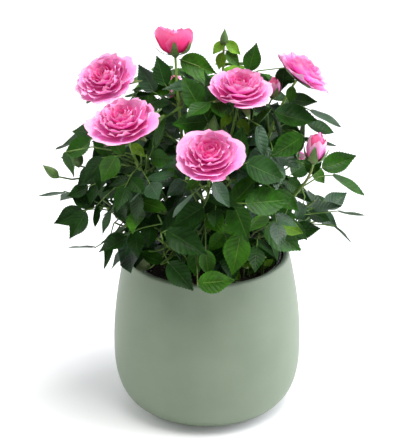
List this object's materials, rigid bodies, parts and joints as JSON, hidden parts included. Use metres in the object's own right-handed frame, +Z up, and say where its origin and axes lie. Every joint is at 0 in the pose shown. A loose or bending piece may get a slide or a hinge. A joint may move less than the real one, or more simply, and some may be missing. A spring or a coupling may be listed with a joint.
{
  "type": "potted rose bush",
  "caption": "Miniature rose bush in full bloom, with double flowers and buds over dark leaves, in a plain bellied ceramic pot with a liner and soil.",
  "frame": {"origin": "centre of the pot's flat underside", "axes": "+Z up along the pot's axis; +X to the right and -Y to the front of the plant's fullest side"},
  "size_m": [0.2502, 0.1981, 0.3133],
  "materials": {
    "sage_glaze": "satin",
    "black_plastic": "satin",
    "moist_soil": "matte",
    "old_wood": "matte",
    "green_cane": "satin",
    "rose_leaf": "satin",
    "pink_petal": "satin",
    "green_bud": "satin"
  },
  "bodies": {
    "root": {"pot": "sage_glaze", "nursery_pot": "black_plastic", "soil": "moist_soil", "root_crown": "old_wood", "cane_front": "green_cane", "cane_left_front": "green_cane", "cane_left_upper": "green_cane", "cane_top_left": "green_cane", "cane_top": "green_cane", "cane_right_upper": "green_cane", "cane_right_front": "green_cane", "cane_top_bud": "green_cane", "cane_back_left": "green_cane", "cane_back_right": "green_cane", "cane_back": "green_cane", "cane_back_bud": "green_cane", "cane_low_left": "green_cane", "cane_low_right": "green_cane", "cane_low_front_left": "green_cane", "cane_low_front_right": "green_cane", "cane_low_back_left": "green_cane", "cane_low_back_right": "green_cane", "foliage_front": "rose_leaf", "foliage_left_front": "rose_leaf", "foliage_left_upper": "rose_leaf", "foliage_top_left": "rose_leaf", "foliage_top": "rose_leaf", "foliage_right_upper": "rose_leaf", "foliage_right_front": "rose_leaf", "foliage_top_bud": "rose_leaf", "foliage_back_left": "rose_leaf", "foliage_back_right": "rose_leaf", "foliage_back": "rose_leaf", "foliage_back_bud": "rose_leaf", "foliage_low_left": "rose_leaf", "foliage_low_right": "rose_leaf", "foliage_low_front_left": "rose_leaf", "foliage_low_front_right": "rose_leaf", "foliage_low_back_left": "rose_leaf", "foliage_low_back_right": "rose_leaf", "bloom_front": "pink_petal", "bloom_left_front": "pink_petal", "bloom_left_upper": "pink_petal", "bloom_top": "pink_petal", "bloom_right_upper": "pink_petal", "bloom_back_left": "pink_petal", "bloom_back_right": "pink_petal", "bloom_top_left": "pink_petal", "bloom_back": "pink_petal", "bud_right_front": "pink_petal", "bud_back_bud": "pink_petal", "bud_top_bud": "green_bud"}
  },
  "joints": []
}
